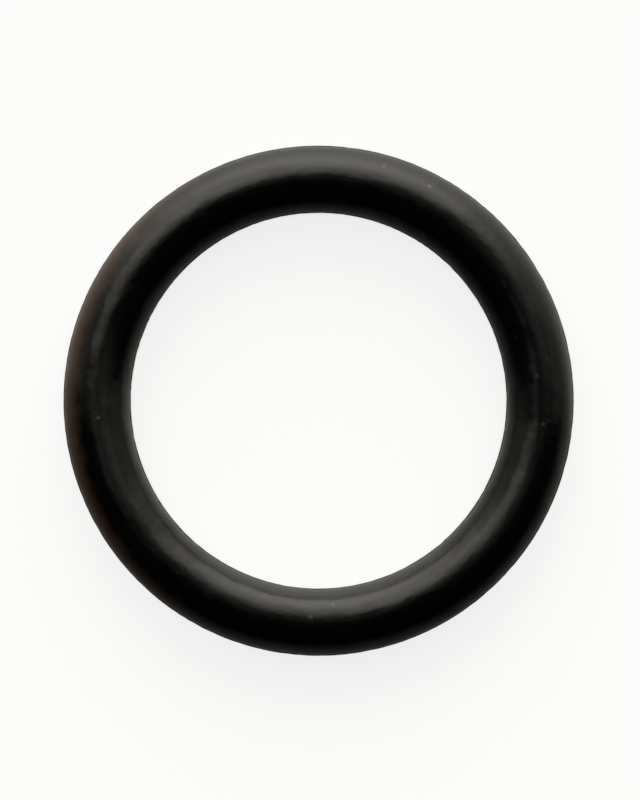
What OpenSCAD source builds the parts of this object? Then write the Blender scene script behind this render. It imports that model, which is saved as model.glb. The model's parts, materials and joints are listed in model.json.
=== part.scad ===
// Rubber o-ring, moulded in one shot between two mould halves that meet at mid height.
// It lies flat on its lower side: Z is the ring's axis, and Z = 0 is the surface under it.
// A round section is carried once round the axis. The halves of the mould part at the ring's
// inside and outside diameters, where the trimmed flash leaves a low, narrow land.

/* [Ring] */
// Inside diameter of the round section, as the ring is sold
inside_d = 17; // [6:0.5:60]
// Diameter of the round section
section_d = 3; // [1.5:0.1:6]

/* [Parting line] */
// How far the trimmed flash stands proud of the round section
flash_h = 0.03; // [0.01:0.01:0.1]
// Width of the flat land along the trimmed edge of the flash
land_w = 0.1; // [0.04:0.01:0.2]
// Slope of the flash's two flanks, measured from the parting plane
flank_angle = 30; // [10:5:45]

/* [Surface] */
// Number of straight steps that show a full circle on screen
smoothness = 180; // [60:12:360]

/* [Hidden] */

section_r = section_d / 2;
inside_r = inside_d / 2;
// The section's centre runs on this circle, half way between inside and outside
centre_r = inside_r + section_r;
// The parting plane halves the section, so it is also the mould halves' meeting plane
parting_z = section_r;

// The flash is drawn from a root this far below the rubber's skin, so that it joins without a gap
root_depth = 0.08;
root_w = land_w + 2 * (flash_h + root_depth) * tan(flank_angle);

// One trimmed flash, pointing along +X from the section's centre
module flash_section() {
    polygon([
        [section_r - root_depth, -root_w / 2],
        [section_r + flash_h, -land_w / 2],
        [section_r + flash_h, land_w / 2],
        [section_r - root_depth, root_w / 2]
    ]);
}

// The moulded section about its own centre: outside of the ring at +X, inside at -X
module moulded_section() {
    union() {
        circle(r = section_r, $fn = smoothness);
        for (turn = [0, 180])
            rotate(turn) flash_section();
    }
}

module o_ring() {
    color([0.03, 0.03, 0.032])
        rotate_extrude($fn = smoothness)
            translate([centre_r, parting_z])
                moulded_section();
}

o_ring();
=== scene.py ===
# %% [markdown]
# # One moulded ring of black rubber
# The object is an o-ring, a seal: one piece of rubber with a round section, carried once round an
# axis. There is nothing to assemble, so all of the work is in two things: how evenly the skin is
# formed, and how that skin meets the light. The packed ring gives every size, and this lesson puts a
# finely formed skin in the same place.

# %% Load the packed ring
import json
import math

import bpy
import numpy as np
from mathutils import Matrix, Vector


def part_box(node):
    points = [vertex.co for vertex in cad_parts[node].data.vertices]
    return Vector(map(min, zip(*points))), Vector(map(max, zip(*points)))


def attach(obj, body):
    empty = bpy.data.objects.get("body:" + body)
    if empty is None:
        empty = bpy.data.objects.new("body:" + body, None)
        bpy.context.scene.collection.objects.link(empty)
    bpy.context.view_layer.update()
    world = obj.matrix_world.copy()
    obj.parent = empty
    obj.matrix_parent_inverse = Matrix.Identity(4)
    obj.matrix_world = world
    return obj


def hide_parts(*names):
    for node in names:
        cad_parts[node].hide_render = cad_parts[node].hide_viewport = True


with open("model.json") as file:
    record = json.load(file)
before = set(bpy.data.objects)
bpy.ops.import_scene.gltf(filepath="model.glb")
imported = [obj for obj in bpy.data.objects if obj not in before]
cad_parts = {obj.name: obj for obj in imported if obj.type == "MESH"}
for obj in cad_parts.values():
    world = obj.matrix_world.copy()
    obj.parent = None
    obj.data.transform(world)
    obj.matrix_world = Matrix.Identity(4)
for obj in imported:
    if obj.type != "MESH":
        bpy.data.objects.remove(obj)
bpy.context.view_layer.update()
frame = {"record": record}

# %% [markdown]
# ## Sizes
# Nothing is measured twice. The two seats in the record are the trimmed edges of the mould line,
# inside and outside. Half way between them runs the centre of the section, and the ring's height is
# the section's diameter. What is left over is how far the flash stands proud.

# %% Work out the ring from its seats
MM = 0.001
seats = {mount["name"]: mount["dims"] for mount in frame["record"]["mounts"]}
inside_seat_r = seats["inside_seat"]["r_mm"] * MM
outside_seat_r = seats["outside_seat"]["r_mm"] * MM
land_w = seats["outside_seat"]["length_mm"] * MM

ring_low, ring_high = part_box("o_ring")
section_r = (ring_high.z - ring_low.z) / 2
centre_z = (ring_high.z + ring_low.z) / 2
centre_r = (outside_seat_r + inside_seat_r) / 2
flash_h = (outside_seat_r - inside_seat_r) / 2 - section_r
print(f"section {2 * section_r / MM:.2f} mm on a circle of {2 * centre_r / MM:.2f} mm")
print(f"flash {flash_h / MM:.3f} mm high on a land {land_w / MM:.2f} mm wide")

# %% [markdown]
# ## Camera
# The photograph looks straight down on the ring, and the ring shows no perspective, so the lens is
# long. The distance follows from how many pixels the ring fills, and the camera stands a hair aside,
# because the ring is a hair off centre.

# %% Look straight down
PHOTO_W = 640
PHOTO_H = 800
RING_ACROSS_PX = 510.6
RING_CENTRE_PX = (318.6, 400.7)
LENS_MM = 500
SENSOR_MM = 36
CLIP_NEAR = 10 * MM
CLIP_FAR = 10

metres_per_px = 2 * outside_seat_r / RING_ACROSS_PX
camera_data = bpy.data.cameras.new("camera")
camera_data.lens = LENS_MM
camera_data.sensor_width = SENSOR_MM
camera_data.clip_start = CLIP_NEAR
camera_data.clip_end = CLIP_FAR
camera = bpy.data.objects.new("camera", camera_data)
bpy.context.scene.collection.objects.link(camera)
bpy.context.scene.camera = camera
camera.location = (
    (PHOTO_W / 2 - RING_CENTRE_PX[0]) * metres_per_px,
    (RING_CENTRE_PX[1] - PHOTO_H / 2) * metres_per_px,
    centre_z + metres_per_px * PHOTO_H * LENS_MM / SENSOR_MM,
)
print(f"camera {camera.location.z / MM:.0f} mm above the surface")

# %% [markdown]
# ## Two angles name every place on the skin
# One angle goes round the ring and the other round its section, so the whole skin is a grid over two
# angles. The flash is very narrow, so the rows of the grid crowd together at the inside and at the
# outside of the ring, and spread out over the plain crown between them.

# %% A grid round the ring and round the section
STEPS_ROUND_RING = 768
STEPS_ROUND_SECTION = 128
CROWDING = 0.9

round_ring = np.linspace(0, 2 * np.pi, STEPS_ROUND_RING, endpoint=False)[:, None]
even = np.linspace(0, 2 * np.pi, STEPS_ROUND_SECTION, endpoint=False)[None, :]
round_section = even - CROWDING * np.sin(2 * even) / 2
outside = np.cos(round_section) > 0
rows_in_reach = np.abs(section_r * np.sin(round_section[0])) < land_w
print("rows across one flash:", int(rows_in_reach.sum() / 2))

# %% [markdown]
# ## Unevenness
# A moulded skin is never a perfect torus: it shrinks as it cools, and it lifts off the mould a little
# unevenly. A random number at each vertex would make sandpaper. A sum of waves, each with a whole
# number of crests round the ring and round the section, is smooth and closes on itself without a seam.

# %% A seamless ripple
def ripple(most_round, most_across, waves, seed):
    """Adds cosines whose phase is m times the angle round the ring plus n times the angle round the
    section plus a shift, with m and n whole numbers. The sum is divided by the square root of half the
    number of waves, so that it varies by about 1."""
    draw = np.random.default_rng(seed)
    m = draw.integers(-most_round, most_round + 1, waves)
    n = draw.integers(-most_across, most_across + 1, waves)
    shift = draw.uniform(0, 2 * np.pi, waves)
    total = sum(np.cos(a * round_ring + b * round_section + c) for a, b, c in zip(m, n, shift))
    return total / math.sqrt(waves / 2)


print("spread of a ripple:", round(float(ripple(30, 0, 12, 13).std()), 2))

# %% [markdown]
# ## The trimmed flash
# The mould's two halves meet at mid height. Rubber creeps between them as a thin fin, the flash, and
# a blade or a tumbling drum takes it off again, more at some places than at others. What stays is a
# low land round the inside and the outside. It could be a bevelled ring on its own, but it is one
# skin with the rubber, so it is only a change in how far the skin reaches.

# %% How high the flash is left
TRIM_TALLEST = 0.8
TRIM_LOWEST = 0.3
TRIM_UNEVENNESS = 0.16
TRIM_CRESTS = 90
TRIM_WAVES = 24


def trimmed_height(seed):
    """The flash's full height times a share: the tallest one, less the unevenness times the size of a
    ripple, and never under the lowest. No share reaches 1, so it stays inside the packed ring."""
    uneven = np.abs(ripple(TRIM_CRESTS, 0, TRIM_WAVES, seed))
    return flash_h * np.clip(TRIM_TALLEST - TRIM_UNEVENNESS * uneven, TRIM_LOWEST, 1)


trimmed = np.where(outside, trimmed_height(seed=11), trimmed_height(seed=12))
print(f"flash left {trimmed.min() / MM:.3f} to {trimmed.max() / MM:.3f} mm high")

# %% [markdown]
# ## The section with its lands
# The land's flanks slope down into the round section, and its middle wanders up and down by about a
# hundredth of a millimetre, as a trimmed edge does. A union of two solids would leave an edge between
# them to clean up. Taking the larger of the circle and the flash lets the flash grow out of the
# circle in one skin.

# %% How far the skin reaches
FLANK_ANGLE = math.radians(30)
TRIM_WANDER = 0.008 * MM
WANDER_CRESTS = 30
WANDER_WAVES = 12
MARK_DEPTH = 0.2 * flash_h


def wander(seed):
    """How far the land's middle strays from mid height, as a ripple that is the same all across it."""
    return TRIM_WANDER * ripple(WANDER_CRESTS, 0, WANDER_WAVES, seed)


def reach_of_skin():
    """Distance of the skin from the section's centre along the ring's radius, its height, and a mark
    that is 1 on the flash. Off the flash the reach is the circle's. On it, the reach falls from the
    land by the distance past the land's edge over the tangent of the flank's angle."""
    height = section_r * np.sin(round_section) + 0 * round_ring
    circle = section_r * np.abs(np.cos(round_section))
    land_middle = np.where(outside, wander(seed=13), wander(seed=14))
    past_land = np.maximum(np.abs(height - land_middle) - land_w / 2, 0)
    flash = section_r + trimmed - past_land / math.tan(FLANK_ANGLE)
    mark = np.clip((flash - circle) / MARK_DEPTH, 0, 1)
    return np.maximum(circle, flash) * np.where(outside, 1, -1), height, mark


reach, height, flash_marks = reach_of_skin()
print(f"furthest reach {reach.max() / MM:.4f} mm from the section's centre")

# %% [markdown]
# ## Carry the section round
# The section is carried round the axis, and the skin is let sink by about a hundredth of a
# millimetre, a little more here and a little less there. It only ever sinks, so that it stays inside
# the packed ring, and it doesn't on the flash, whose edge is cut. A displacement on a finished torus
# would do much the same, but the grid is at hand and needs no modifier.

# %% The skin of the ring
RIPPLE_H = 0.004 * MM
RIPPLE_TOP = 3
SKIN_CRESTS_ROUND = 40
SKIN_CRESTS_ACROSS = 6
SKIN_WAVES = 60


def ring_skin():
    """Each place is the section's centre plus the reach and the height, both shrunk by the dip, and
    turned about the axis by the angle round the ring. The dip is the ripple's height times a ripple
    that is brought below zero, and there is none on the flash."""
    uneven = ripple(SKIN_CRESTS_ROUND, SKIN_CRESTS_ACROSS, SKIN_WAVES, seed=15)
    dip = RIPPLE_H * (uneven - RIPPLE_TOP).clip(-2 * RIPPLE_TOP, 0)
    shrink = 1 + (1 - flash_marks) * dip / section_r
    radius = centre_r + reach * shrink
    return np.stack([
        radius * np.cos(round_ring),
        radius * np.sin(round_ring),
        centre_z + height * shrink + 0 * round_ring,
    ], axis=-1)


skin_places = ring_skin()
skin_h = skin_places[..., 2].max() - skin_places[..., 2].min()
print(f"skin {skin_h / MM:.3f} mm high, packed ring {2 * section_r / MM:.3f} mm")

# %% [markdown]
# ## Make the mesh
# Spinning one profile would give an even ring. Here the grid is already there as an array, uneven as
# the real skin is and with the flash's marks beside it, and it goes into the mesh in one call.

# %% Put the grid into a mesh
def closed_grid(name, places, marks):
    """A mesh of quads over a grid that closes on itself both ways. Corner (i, j) joins (i + 1, j),
    (i + 1, j + 1) and (i, j + 1), counted round, which faces outwards here. The UV map runs once round
    the ring and once round the section. marks is one number for each vertex, kept as an attribute."""
    across, up = places.shape[:2]
    i, j = np.meshgrid(np.arange(across), np.arange(up), indexing="ij")
    corners_i = np.stack([i, i + 1, i + 1, i], axis=-1).reshape(-1, 4)
    corners_j = np.stack([j, j, j + 1, j + 1], axis=-1).reshape(-1, 4)
    faces = (corners_i % across) * up + corners_j % up
    mesh = bpy.data.meshes.new(name)
    mesh.from_pydata(places.reshape(-1, 3).tolist(), [], faces.tolist())
    mesh.polygons.foreach_set("use_smooth", np.ones(len(faces), bool))
    uv = np.stack([corners_i / across, corners_j / up], axis=-1)
    mesh.uv_layers.new(name="round_and_across").data.foreach_set("uv", uv.ravel().astype(np.float32))
    attribute = mesh.attributes.new("flash", "FLOAT", "POINT")
    attribute.data.foreach_set("value", marks.ravel().astype(np.float32))
    mesh.validate()
    piece = bpy.data.objects.new(name, mesh)
    bpy.context.scene.collection.objects.link(piece)
    return piece


rubber_ring = closed_grid("rubber_ring", skin_places, flash_marks)
print("rubber_ring:", len(rubber_ring.data.polygons) * 2, "triangles")

# %% [markdown]
# ## Shader maths
# A finish is a sum of masks and noises. Its nodes could be linked one by one, but then nobody can read
# the sum. Wrapping a socket in a small class lets it be written as an ordinary expression, and each
# operator adds the Math node that does it.

# %% Write shader maths as expressions
class Value:
    """One output socket. Python's operators on it add Math nodes."""

    def __init__(self, tree, socket):
        self.tree = tree
        self.socket = socket

    def maths(self, operation, first, second):
        """A Math node on two sockets or numbers."""
        return self.tree.add("ShaderNodeMath", {0: first, 1: second}, operation=operation)

    def __add__(self, other):
        return self.maths("ADD", self, other)

    def __radd__(self, other):
        return self.maths("ADD", other, self)

    def __sub__(self, other):
        return self.maths("SUBTRACT", self, other)

    def __rsub__(self, other):
        return self.maths("SUBTRACT", other, self)

    def __mul__(self, other):
        return self.maths("MULTIPLY", self, other)

    def __rmul__(self, other):
        return self.maths("MULTIPLY", other, self)

    def __truediv__(self, other):
        return self.maths("DIVIDE", self, other)

    def __pow__(self, other):
        return self.maths("POWER", self, other)

    def __abs__(self):
        return self.tree.add("ShaderNodeMath", {0: self}, operation="ABSOLUTE")


print("a Value can:", ", ".join(name for name, part in vars(Value).items() if callable(part)))

# %% [markdown]
# ## Nodes
# Every other node comes from one method that takes its kind, its settings and what goes into its
# sockets. The handful that this lesson uses again and again get a short name of their own.

# %% Add nodes by name
class Tree:
    """The nodes of a material or of the world, emptied first."""

    def __init__(self, owner):
        owner.use_nodes = True
        self.nodes = owner.node_tree.nodes
        self.links = owner.node_tree.links
        self.nodes.clear()

    def add(self, kind, inputs=None, output=0, **settings):
        """Adds a node of that kind, makes its settings, then fills each named or numbered input with a
        value or a link, and returns the output asked for."""
        node = self.nodes.new(kind)
        for name, setting in settings.items():
            setattr(node, name, setting)
        for name, given in (inputs or {}).items():
            if isinstance(given, Value):
                self.links.new(given.socket, node.inputs[name])
            else:
                node.inputs[name].default_value = given
        return Value(self, node.outputs[output] if len(node.outputs) else None)

    def ramp(self, value, low, high, curve="LINEAR"):
        """0 below low, 1 above high, and a straight rise between. low may be the larger one."""
        ends = {"Value": value, "From Min": low, "From Max": high}
        return self.add("ShaderNodeMapRange", ends, interpolation_type=curve)

    def step(self, value, low, high):
        """The same with a smooth rise."""
        return self.ramp(value, low, high, "SMOOTHSTEP")

    def mix(self, share, plain, other):
        """The colour plain where share is 0 and other where it is 1."""
        return self.add("ShaderNodeMix", {0: share, 6: plain, 7: other}, output=2, data_type="RGBA")

    def noise(self, where, size, detail=2.0):
        """Smooth noise from 0 to 1, about 0.5 on average, with features of the given size in metres."""
        return self.add("ShaderNodeTexNoise", {"Vector": where, "Scale": 1 / size, "Detail": detail})

    def along(self, direction, axis):
        """How far a direction goes along an axis, from -1 to 1."""
        both = {0: direction, 1: axis}
        return self.add("ShaderNodeVectorMath", both, output=1, operation="DOT_PRODUCT")

    def parts(self, vector):
        """The x, y and z of a vector."""
        outputs = self.add("ShaderNodeSeparateXYZ", {0: vector}).socket.node.outputs
        return [Value(self, outputs[name]) for name in "XYZ"]


print("a Tree can:", ", ".join(name for name, part in vars(Tree).items() if callable(part)))

# %% [markdown]
# ## Dust
# A few specks of dust cling to the ring where the photograph shows them. They are far too small to be
# pieces, so each is a place on the skin where the rubber turns pale, dull and a hair raised. A place
# is named by its angle round the ring and how far across the top it lies.

# %% Specks seen on the ring
# Each speck: degrees round the ring from +X, place across the top from -1 inside to 1 outside, its
# diameter in millimetres, and how pale it is.
SPECKS = [
    (62.6, 0.59, 0.17, 0.11),
    (184.4, -0.03, 0.18, 0.045),
    (181.9, 0.25, 0.1, 0.022),
    (6.6, -0.08, 0.2, 0.024),
    (354, 0.12, 0.2, 0.032),
    (355, 0.28, 0.14, 0.012),
    (10.4, 0.32, 0.16, 0.014),
    (18, -0.44, 0.12, 0.012),
    (353.8, -0.11, 0.18, 0.014),
    (57.7, -0.80, 0.22, 0.032),
    (74.4, 0.67, 0.20, 0.06),
    (267.8, -0.17, 0.22, 0.03),
    (274, -0.53, 0.20, 0.05),
]


def on_top(degrees, across):
    """The point on the upper skin at an angle round the ring and a share across the section."""
    radius = centre_r + across * section_r
    turn = math.radians(degrees)
    height = centre_z + section_r * math.sqrt(1 - across * across)
    return (radius * math.cos(turn), radius * math.sin(turn), height)


print(len(SPECKS), "specks, the widest", max(diameter for _, _, diameter, _ in SPECKS), "mm")

# %% [markdown]
# ## Specks as a mask
# A grain of dust has a ragged rim. A round spot on the distance from its middle would look like a
# painted dot, so the distance is measured from a place that a fine noise has pushed about.

# %% How pale the dust is
PUSH_SIZE = 0.12 * MM
PUSH_FAR = 0.13 * MM
SPECK_RIM = 0.7
SPECK_CORE = 0.2


def speck_masks(tree, where):
    """Paleness of the specks: for each, its own paleness times a soft step on the distance from its
    centre, which ends at a share of its diameter and is full within a smaller share."""
    push = tree.add("ShaderNodeTexNoise", {"Vector": where, "Scale": 1 / PUSH_SIZE}, output=1)
    push = tree.add("ShaderNodeVectorMath", {0: push, 1: (0.5, 0.5, 0.5)}, operation="SUBTRACT")
    push = tree.add("ShaderNodeVectorMath", {0: push, "Scale": PUSH_FAR}, operation="SCALE")
    near = tree.add("ShaderNodeVectorMath", {0: where, 1: push}, operation="ADD")
    pale = 0.0
    for degrees, across, diameter, paleness in SPECKS:
        place = {0: near, 1: on_top(degrees, across)}
        away = tree.add("ShaderNodeVectorMath", place, output=1, operation="DISTANCE")
        spot = tree.step(away, SPECK_RIM * diameter * MM, SPECK_CORE * diameter * MM)
        pale = spot * paleness + pale
    return pale


print(f"dust pushed about by up to {PUSH_FAR / 2 / MM:.3f} mm each way")

# %% [markdown]
# ## Orange peel
# Moulded rubber has a faint orange peel, and here it is drawn out a little along the ring, the way
# that the rubber flowed. A noise on plain coordinates can't follow a ring, and one on the UV map would
# show a seam. A fourth dimension gives room for both angles to close on themselves.

# %% Noise drawn out along the ring
DRAWN_OUT = 2.0
PEEL_DETAIL = 1.0


def distance_from_axis(tree, where):
    """The square root of x squared plus y squared."""
    x, y, _ = tree.parts(where)
    return (x * x + y * y) ** 0.5


def drawn_noise(tree, where, from_axis, size):
    """Noise whose features are of the given size across the section and longer along the ring. The
    angle round the ring goes in as a cosine and a sine, times the ring's radius over the drawn-out
    size. The place across the section goes in as its two distances from the section's centre, over
    the size itself."""
    x, y, z = tree.parts(where)
    round_scale = centre_r / (DRAWN_OUT * size)
    inputs = {0: x / from_axis * round_scale, 1: y / from_axis * round_scale}
    inputs[2] = (from_axis - centre_r) / size
    four = {"Vector": tree.add("ShaderNodeCombineXYZ", inputs), "W": (z - centre_z) / size}
    settings = {"Scale": 1.0, "Detail": PEEL_DETAIL}
    return tree.add("ShaderNodeTexNoise", four | settings, noise_dimensions="4D")


print("the peel is", DRAWN_OUT, "times as long along the ring as across it")

# %% [markdown]
# ## Wear
# Tumbling and handling rub both flanks of the ring, so they shine more softly than its crown. A
# painted mask would need a picture, while a step on the distance from the axis lies true everywhere.

# %% Where the ring is worn
WORN_FROM = 0.45 * section_r
WORN_FULL = 0.85 * section_r


def worn_flanks(tree, from_axis):
    """A smooth step on how far the skin lies to either side of the crown."""
    return tree.step(abs(from_axis - centre_r), WORN_FROM, WORN_FULL)


print(f"worn from {WORN_FROM / MM:.2f} mm to either side of the crown")

# %% [markdown]
# ## Painted warm reflection
# On the left outer flank lies a thin brown tint, a painted warm reflection. It is only a tint, so it
# needs no layer of its own, and a noise gives it a ragged rim.

# %% Where the warm reflection is painted
REFLECTION_TINT_FROM = 10.9 * MM
REFLECTION_TINT_FULL = 11.7 * MM
REFLECTION_TINT_RAGGED = 0.5 * MM
REFLECTION_TINT_TURN = (-0.4, -0.95)


def painted_warm_reflection(tree, where, from_axis, mottle):
    """The painted warm reflection: a smooth step on the distance from the axis, made ragged by a noise,
    times one on how far round to the left the place lies, which is the cosine of its angle round the
    ring."""
    outermost = tree.step(from_axis + REFLECTION_TINT_RAGGED * mottle, REFLECTION_TINT_FROM, REFLECTION_TINT_FULL)
    x = tree.parts(where)[0]
    return outermost * tree.step(x / from_axis, *REFLECTION_TINT_TURN)


print(f"bloom beyond {(REFLECTION_TINT_FROM - REFLECTION_TINT_RAGGED) / MM:.1f} mm from the axis at the earliest")

# %% [markdown]
# ## Painted sheen on the crown
# At two places the crown is painted a little paler: a painted sheen, a soft glint of light on the
# black. It only makes the black a little paler.

# %% Where the sheen is painted on the crown
# Each painted sheen: degrees round the ring from +X of its middle, and its half length in degrees.
SHEEN_PLACES = [(187, 30), (331, 28)]
SHEEN_R = centre_r - 0.16 * section_r
SHEEN_HALF_W = 0.42 * section_r
SHEEN_CORE = 0.05 * section_r
SHEEN_PALE = 0.011
SHEEN_LEAST = 0.5


def painted_crown_sheen(tree, where, from_axis, mottle):
    """Paleness of the painted sheen: a smooth step on the distance from its middle line, times one on how
    far the place turns away from the middle of its length, times a noise that never takes it all away."""
    near_line = tree.step(abs(from_axis - SHEEN_R), SHEEN_HALF_W, SHEEN_CORE)
    x, y, _ = tree.parts(where)
    length = 0.0
    for degrees, half in SHEEN_PLACES:
        turn = math.radians(degrees)
        along = (x * math.cos(turn) + y * math.sin(turn)) / from_axis
        length = tree.step(along, math.cos(math.radians(half)), 1.0) + length
    return SHEEN_PALE * near_line * length * (SHEEN_LEAST + mottle)


print(len(SHEEN_PLACES), "breaths of talc, in bands", round(2 * SHEEN_HALF_W / MM, 2), "mm wide")

# %% [markdown]
# ## Colour
# Carbon black soaks up nearly all light, so the body of the ring is almost pure black, and it only
# drifts between two blacks. One flat black would do from afar. Close by, the eye looks for the paler
# trimmed edge, the painted warm reflection, and the dust with the painted crown sheen, so each is mixed
# over the black in turn.

# %% The body's colour
DEEP_BLACK = (0.0016, 0.0016, 0.0017, 1)
SOFT_BLACK = (0.0032, 0.0032, 0.0034, 1)
REFLECTION_BROWN = (0.06, 0.028, 0.016, 1)
TRIMMED_GREY = (0.11, 0.102, 0.095, 1)
DUST_AND_SHEEN_WHITE = (1, 1, 0.97, 1)
TRIMMED_LEAST = 0.5
TRIMMED_PATCHY = 0.5


def body_colour(tree, drift, mottle, warm_reflection, flash, dust_and_sheen):
    """The two blacks shared out by the drift, then the painted warm reflection, the trimmed edge, and the
    dust with the painted crown sheen, each by its own mask.
    """
    body = tree.mix(drift, DEEP_BLACK, SOFT_BLACK)
    # Painted warm reflection: a brown tint on the left outer flank.
    body = tree.mix(warm_reflection, body, REFLECTION_BROWN)
    body = tree.mix(flash * (TRIMMED_LEAST + TRIMMED_PATCHY * mottle), body, TRIMMED_GREY)
    # Pale dust specks, and the painted sheen on the crown.
    return tree.mix(dust_and_sheen, body, DUST_AND_SHEEN_WHITE)


print("the softer black throws back", SOFT_BLACK[1] * 100, "% of the light")

# %% [markdown]
# ## Shine
# What the eye reads on black rubber is the shine of its skin. That shine is satin: the mould's polish,
# blurred by a fine orange peel. A perfectly even roughness would look like plastic, so it drifts
# a little from place to place, and wear, the cut edge and dust make it duller.

# %% How rough the skin is
POLISH = 0.09
DRIFT_ROUGH = 0.05
MOTTLE_ROUGH = 0.08
GRAIN_ROUGH = 0.02
WORN_ROUGH = 0.2
FLASH_ROUGH = 0.1
SPECK_ROUGH = 2.0


def roughness(drift, mottle, grain, worn, flash, specks):
    """The mould's polish plus a share of each noise and of each mask."""
    rough = POLISH + DRIFT_ROUGH * drift + MOTTLE_ROUGH * mottle + GRAIN_ROUGH * grain
    return rough + WORN_ROUGH * worn + FLASH_ROUGH * flash + SPECK_ROUGH * specks


crown_rough = POLISH + (DRIFT_ROUGH + MOTTLE_ROUGH + GRAIN_ROUGH) / 2
print(f"roughness about {crown_rough:.2f} on the crown and {crown_rough + WORN_ROUGH:.2f} on the flanks")

# %% [markdown]
# ## Relief
# The peel and the grain are too fine for the mesh, whose steps are about a tenth of a millimetre, and
# the mottle goes with them. A bump bends the shine as they would, and its heights are true ones in
# metres, so it holds from every side.

# %% How the skin rises and falls
PEEL_H = 0.015 * MM
MOTTLE_H = 0.008 * MM
GRAIN_H = 0.0004 * MM
SPECK_H = 0.02 * MM


def relief(tree, peel, mottle, grain, specks):
    """A bump whose height is the sum of the noises and the specks, each times its own height."""
    skin = PEEL_H * peel + MOTTLE_H * mottle + GRAIN_H * grain + SPECK_H * specks
    return tree.add("ShaderNodeBump", {"Strength": 1.0, "Distance": 1.0, "Height": skin})


print(f"relief of up to {(PEEL_H + MOTTLE_H + GRAIN_H) / MM:.3f} mm between specks")

# %% [markdown]
# ## Black rubber
# Now the finish is put together from its noises and masks. The noises go from coarse to fine: the
# drift, the mottle, the peel and the grain. Everything reads the ring's own coordinates or the flash's
# marks, so nothing slides when the ring or the camera moves.

# %% The rubber itself
DRIFT_SIZE = 3.0 * MM
DRIFT_DETAIL = 3.0
MOTTLE_SIZE = 0.7 * MM
PEEL_SIZE = 0.35 * MM
GRAIN_SIZE = 0.09 * MM
RUBBER_IOR = 1.5


def black_rubber():
    """Near-black body, satin skin. Roughness and a fine bump carry the unevenness of the skin."""
    material = bpy.data.materials.new("black_rubber")
    tree = Tree(material)
    where = tree.add("ShaderNodeTexCoord", output="Object")
    from_axis = distance_from_axis(tree, where)
    flash = tree.add("ShaderNodeAttribute", output="Fac", attribute_name="flash")
    drift = tree.noise(where, DRIFT_SIZE, DRIFT_DETAIL)
    mottle = tree.noise(where, MOTTLE_SIZE)
    grain = tree.noise(where, GRAIN_SIZE)
    peel = drawn_noise(tree, where, from_axis, PEEL_SIZE)
    specks = speck_masks(tree, where)
    # Painted warm reflection on the left outer flank.
    warm_reflection = painted_warm_reflection(tree, where, from_axis, mottle)
    # Dust specks plus a painted sheen on the crown.
    dust_and_sheen = specks + painted_crown_sheen(tree, where, from_axis, mottle)
    worn = worn_flanks(tree, from_axis)

    finish = {
        "Base Color": body_colour(tree, drift, mottle, warm_reflection, flash, dust_and_sheen),
        "Roughness": roughness(drift, mottle, grain, worn, flash, specks),
        "Normal": relief(tree, peel, mottle, grain, specks),
        "IOR": RUBBER_IOR,
    }
    surface = tree.add("ShaderNodeBsdfPrincipled", finish)
    tree.add("ShaderNodeOutputMaterial", {"Surface": surface})
    print("black_rubber:", len(tree.nodes), "nodes")
    return material


rubber_ring.data.materials.append(black_rubber())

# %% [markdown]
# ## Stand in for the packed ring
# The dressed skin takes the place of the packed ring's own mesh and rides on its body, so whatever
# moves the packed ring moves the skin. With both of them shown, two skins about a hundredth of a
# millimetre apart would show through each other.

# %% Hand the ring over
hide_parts("o_ring")
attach(rubber_ring, "root")
print("rubber_ring rides on root and stands for o_ring")

# %% [markdown]
# ## Floor
# The ring lies on a plain pale floor. A square is enough, as long as its edge stays out of sight. It
# is hidden from diffuse rays, because the studio's world already gives the light from below.

# %% A pale floor
FLOOR_HALF = 1.5

floor_mesh = bpy.data.meshes.new("floor")
edge = FLOOR_HALF * np.array([[-1, -1, 0], [1, -1, 0], [1, 1, 0], [-1, 1, 0]])
floor_mesh.from_pydata(edge.tolist(), [], [(0, 1, 2, 3)])
floor = bpy.data.objects.new("floor", floor_mesh)
bpy.context.scene.collection.objects.link(floor)
floor.visible_diffuse = False
print("floor", 2 * FLOOR_HALF, "m across")

# %% [markdown]
# ## How the floor is seen
# The ring is seen on white, so the camera sees the floor far paler than the light leaves it, and only
# a breath of shadow stays. Right under the ring the floor keeps its true shade, which sets the ring
# down. The ring's shine sees through the rest of it: the rims in the photograph mirror light from
# below, as if the ring lay on a light table.

# %% White away from the ring, shaded under it
FLOOR_WHITE = (0.9, 0.9, 0.9, 1)
FLOOR_GLOW = (1, 1, 1, 1)
FLOOR_GLOW_STRENGTH = 1.15
SHADOW_LEFT = 0.27
TRUE_SHADE_OUT = 0.5 * section_r
TRUE_SHADE_END = 1.1 * section_r


def white_floor():
    """Lit white, glow and nothing, shared out: the camera sees mostly glow away from the ring, and the
    ring's shine sees nothing there."""
    material = bpy.data.materials.new("white_floor")
    tree = Tree(material)
    where = tree.add("ShaderNodeTexCoord", output="Object")
    from_ring = abs(distance_from_axis(tree, where) - centre_r)
    lifted = tree.step(from_ring, TRUE_SHADE_OUT, TRUE_SHADE_END)
    seen = tree.add("ShaderNodeLightPath", output="Is Camera Ray")
    mirrored = tree.add("ShaderNodeLightPath", output="Is Glossy Ray")
    lit = tree.add("ShaderNodeBsdfDiffuse", {"Color": FLOOR_WHITE})
    glow = tree.add("ShaderNodeEmission", {"Color": FLOOR_GLOW, "Strength": FLOOR_GLOW_STRENGTH})
    gone = tree.add("ShaderNodeBsdfTransparent")
    shown = tree.add("ShaderNodeMixShader", {0: seen * lifted * (1 - SHADOW_LEFT), 1: lit, 2: glow})
    shown = tree.add("ShaderNodeMixShader", {0: mirrored * lifted, 1: shown, 2: gone})
    tree.add("ShaderNodeOutputMaterial", {"Surface": shown})
    return material


floor_mesh.materials.append(white_floor())
print(f"true shade within {TRUE_SHADE_OUT / MM:.2f} mm of the ring's middle circle")

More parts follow.
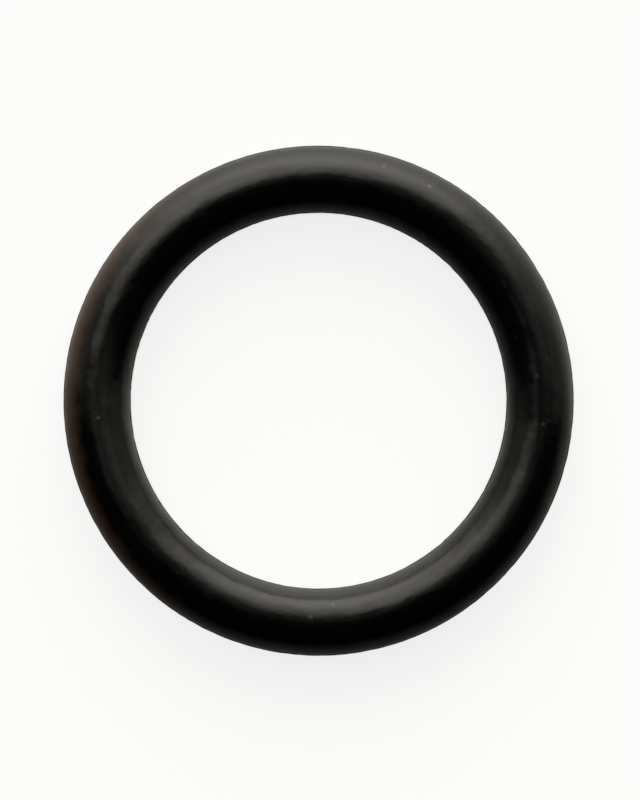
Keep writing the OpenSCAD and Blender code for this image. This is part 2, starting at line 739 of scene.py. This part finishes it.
# %% [markdown]
# ## Light
# The shine says where the light was. Each point of a round section mirrors its own direction, so the
# ring is a map of the studio: one wide soft box beyond the ring, two soft patches above it to the left
# and two to the right, and next to nothing on the near side. Lamps would do, but a world whose
# brightness follows a direction gives those soft edges with nothing to place.

# %% Directions in the studio
LIGHT_TURN = math.radians(88)

world = bpy.data.worlds.new("studio")
bpy.context.scene.world = world
sky = Tree(world)
direction = sky.add("ShaderNodeTexCoord", output="Generated")
upwards = sky.parts(direction)[2]
facing = sky.along(direction, (math.cos(LIGHT_TURN), math.sin(LIGHT_TURN), 0))
aside = sky.along(direction, (math.sin(LIGHT_TURN), -math.cos(LIGHT_TURN), 0))
print("soft box towards", round(math.degrees(LIGHT_TURN)), "degrees from +X")

# %% [markdown]
# ## The soft box
# It grows with how far a direction faces it, fades below the horizon, which leaves it brightest some
# twenty degrees up, and loses most of its strength far to the right and far to the left.

# %% A soft box beyond the ring
BOX_STRENGTH = 3.15
BOX_FACING = (0.283, 0.97)
BOX_UPWARDS = (-0.68, 0.5)
BOX_BELOW = 0.14
BOX_RIGHT = (0.38, 0.76)
BOX_RIGHT_LOSS = 0.65
BOX_LEFT = (-0.54, -0.94)
BOX_LEFT_LOSS = 0.7

box = BOX_STRENGTH * sky.ramp(facing, *BOX_FACING)
box = box * (BOX_BELOW + (1 - BOX_BELOW) * sky.step(upwards, *BOX_UPWARDS))
box = box * (1 - BOX_RIGHT_LOSS * sky.step(aside, *BOX_RIGHT))
box = box * (1 - BOX_LEFT_LOSS * sky.step(aside, *BOX_LEFT))
print("soft box: up to", BOX_STRENGTH, "times a plain white")

# %% [markdown]
# ## Soft patches above it
# On the ring's left and right the shine splits into narrower bands that the soft box alone doesn't
# give. Each is the mirror image of one more soft light, high above the ring.

# %% Round patches of light
# Each patch: its strength, its turn from +X, its tilt from straight up and its half width in degrees.
PATCHES = [
    (0.95, 134, 33, 25),
    (0.18, 157, 13, 13),
    (0.15, 42, 28, 26),
    (0.09, 30, 34, 15),
]


def soft_patch(turn, tilt, half):
    """A round patch of light: a smooth step on how far a direction goes along the patch's own axis. It
    is 1 in the middle and 0 at the rim."""
    turn, tilt, half = (math.radians(angle) for angle in (turn, tilt, half))
    axis = (math.sin(tilt) * math.cos(turn), math.sin(tilt) * math.sin(turn), math.cos(tilt))
    return sky.step(sky.along(direction, axis), math.cos(half), 1.0)


patches = 0.0
for strength, turn, tilt, half in PATCHES:
    patches = strength * soft_patch(turn, tilt, half) + patches
print(len(PATCHES), "soft patches")

# %% [markdown]
# ## The weak light all round
# A studio is never black. The rest of its far half is dim, and dimmest straight up. Light also comes
# from below the horizon, more of it from the far side and less from the left, and draws both rims of
# the ring.

# %% Light from the sides and from below
SIDES_STRENGTH = 0.28
SIDES_FACING = (-0.1, 0.09)
SIDES_UPWARDS = (0.5, 0.98)
SIDES_UPWARDS_LOSS = 0.8
BELOW_NEAR = 0.12
BELOW_FAR_MORE = 0.24
BELOW_UPWARDS = (0.15, -0.45)
BELOW_FACING = (-0.75, 0.35)
BELOW_LEFT = (-0.3, -0.9)
BELOW_LEFT_LOSS = 0.5

sides = SIDES_STRENGTH * sky.step(facing, *SIDES_FACING)
sides = sides * (1 - SIDES_UPWARDS_LOSS * sky.step(upwards, *SIDES_UPWARDS))
below = sky.step(upwards, *BELOW_UPWARDS)
below = below * (BELOW_NEAR + BELOW_FAR_MORE * sky.step(facing, *BELOW_FACING))
below = below * (1 - BELOW_LEFT_LOSS * sky.step(aside, *BELOW_LEFT))
print("from below:", BELOW_NEAR, "near and", BELOW_NEAR + BELOW_FAR_MORE, "far")

# %% [markdown]
# ## The world
# All of the light is slightly warm. The camera itself sees a plain backdrop instead of it, which goes
# on where the floor ends.

# %% Light for the ring, a backdrop for the camera
LIGHT_COLOUR = (1, 0.965, 0.87, 1)
BACKDROP = (0.97, 0.97, 0.97, 1)

all_light = box + patches + sides + below
studio = sky.add("ShaderNodeBackground", {"Color": LIGHT_COLOUR, "Strength": all_light})
backdrop = sky.add("ShaderNodeBackground", {"Color": BACKDROP, "Strength": 1.0})
to_camera = sky.add("ShaderNodeLightPath", output="Is Camera Ray")
either = sky.add("ShaderNodeMixShader", {0: to_camera, 1: studio, 2: backdrop})
sky.add("ShaderNodeOutputWorld", {"Surface": either})
bpy.context.scene.view_settings.view_transform = "Standard"
print("studio:", len(sky.nodes), "nodes")

# %% [markdown]
# ## Size
# Looks never change the size.

# %% [markdown]
# ## The end
# The ring is formed, finished, lit and measured.
